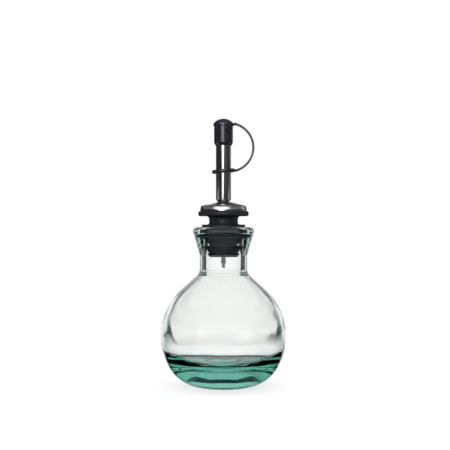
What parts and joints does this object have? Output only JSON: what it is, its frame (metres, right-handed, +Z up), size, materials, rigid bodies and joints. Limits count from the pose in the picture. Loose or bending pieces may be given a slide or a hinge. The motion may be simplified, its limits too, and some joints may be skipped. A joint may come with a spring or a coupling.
{
  "type": "oil pourer bottle",
  "caption": "Round green-tinted glass oil bottle with a flared lip, a lift-out rubber stopper, a steel spout with an air tube, and a tethered push-on spout cap.",
  "frame": {"origin": "centre of the foot, on the surface that the bottle stands on", "axes": "+Z up along the bottle's axis; +X towards the side that the cap's strap bows out on"},
  "size_m": [0.0752, 0.0752, 0.1603],
  "materials": {
    "green_tinted_glass": "clear recycled glass, smooth, slightly wavy",
    "black_rubber": "moulded, semi-matt",
    "polished_steel": "polished, fine turned marks",
    "black_soft_plastic": "satin, grained on the crown"
  },
  "bodies": {
    "bottle": {"glass_bottle": "green_tinted_glass"},
    "pourer": {"stopper": "black_rubber", "steel_collar": "polished_steel", "spout_tube": "polished_steel", "vent_tube": "polished_steel", "vent_ferrule": "polished_steel"},
    "tether": {"tether_ring": "black_soft_plastic", "tether_strap": "black_soft_plastic"},
    "cap": {"spout_cap": "black_soft_plastic"}
  },
  "joints": [
    {"name": "pourer_lift", "type": "slide", "parent": "bottle", "child": "pourer", "axis": [0, 0, 1], "range_m": [0, 0.03]},
    {"name": "tether_turn", "type": "hinge", "parent": "pourer", "child": "tether", "pos_m": [0, 0, 0.129], "axis": [0, 0, 1], "continuous": true},
    {"name": "cap_lift", "type": "slide", "parent": "tether", "child": "cap", "axis": [0, 0, 1], "range_m": [0, 0.012], "deforming": ["tether_strap"]}
  ]
}
